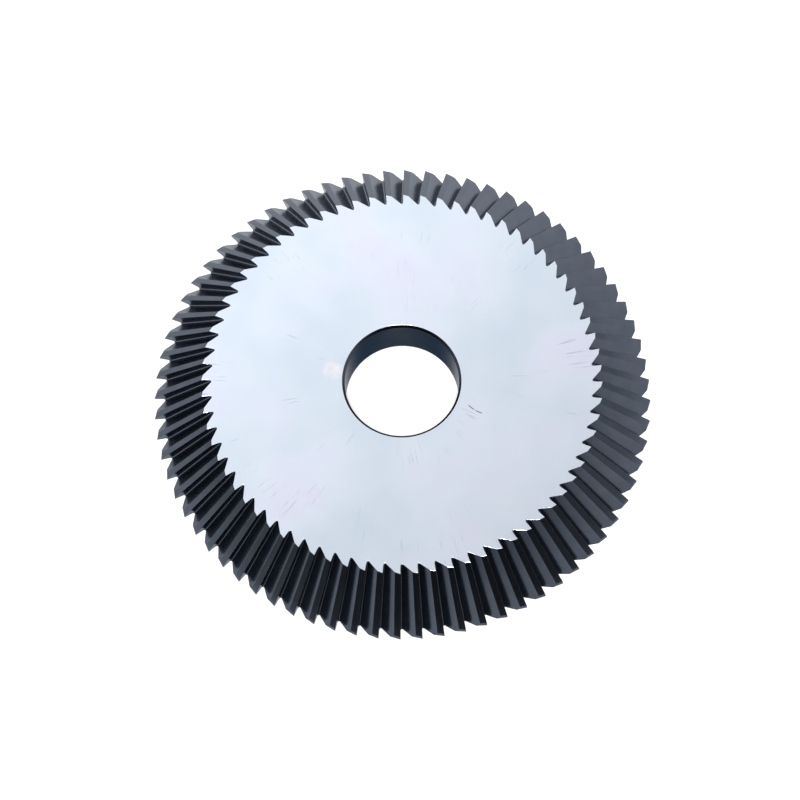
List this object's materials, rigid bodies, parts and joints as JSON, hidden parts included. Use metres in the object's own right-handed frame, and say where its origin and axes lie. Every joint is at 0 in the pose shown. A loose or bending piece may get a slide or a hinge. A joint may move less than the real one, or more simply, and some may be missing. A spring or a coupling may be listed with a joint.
{
  "type": "key machine cutter",
  "caption": "Single-angle milling cutter for a key-cutting machine: a flat disc with a plain bore and straight saw-like teeth on its conical flank.",
  "frame": {"origin": "centre of the bore in the plane of the wide back face, which is the bottom of the part", "axes": "+Z along the bore axis, from the wide back face to the small polished face; +X through one cutting edge"},
  "size_m": [0.0704, 0.0704, 0.0082],
  "materials": {
    "tool_steel": "black-oxide high-speed steel, satin, with one bright ground face"
  },
  "bodies": {
    "root": {"cutter": "tool_steel"}
  },
  "joints": []
}
